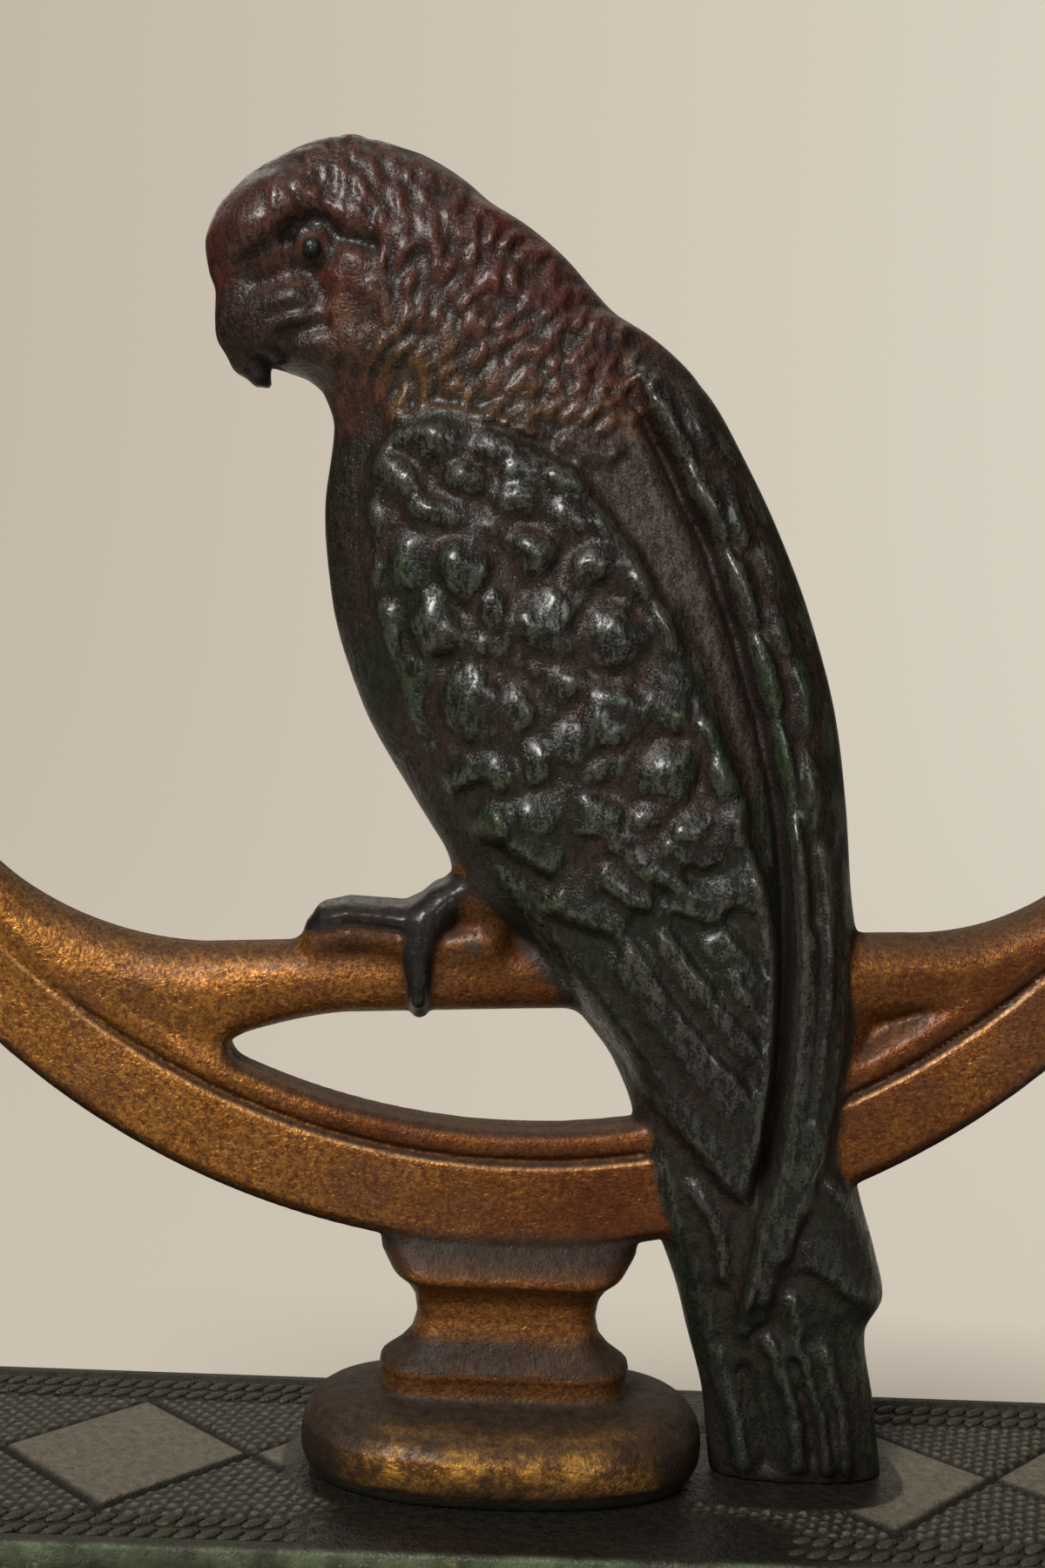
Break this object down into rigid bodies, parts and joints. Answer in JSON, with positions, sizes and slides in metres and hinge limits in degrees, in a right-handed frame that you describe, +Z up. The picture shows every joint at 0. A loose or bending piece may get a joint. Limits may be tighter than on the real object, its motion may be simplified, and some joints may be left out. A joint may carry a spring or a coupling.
{
  "type": "cast iron doorstop",
  "caption": "Cast iron doorstop: a parrot perched on a branch in an openwork ring, carried by a flattened pedestal and the bird's tail on a long tray base with rubber bumpers.",
  "frame": {"origin": "centre of the bounding box's underside, on the surface that the rubber bumpers stand on", "axes": "+Z up; the base is long along X and the bird looks towards -X; the front, where the screws do not show, faces -Y"},
  "size_m": [0.1778, 0.041, 0.2033],
  "materials": {
    "base_iron": "semi-gloss black-green paint over a cast texture, worn along the edges",
    "figure_iron": "glazed bronze, maroon and black-green paint with gold rubbed over the high places",
    "screw_steel": "darkened steel with a dull sheen",
    "washer_steel": "dull plain steel",
    "bumper_rubber": "matt black rubber"
  },
  "bodies": {
    "root": {"base": "base_iron", "figure_front": "figure_iron", "figure_back": "figure_iron", "figure_screw_upper": "screw_steel", "figure_screw_lower": "screw_steel", "pedestal_screw": "screw_steel", "tail_screw": "screw_steel", "pedestal_washer": "washer_steel", "tail_washer": "washer_steel", "bumper_1": "bumper_rubber", "bumper_2": "bumper_rubber", "bumper_3": "bumper_rubber", "bumper_4": "bumper_rubber"}
  },
  "joints": []
}
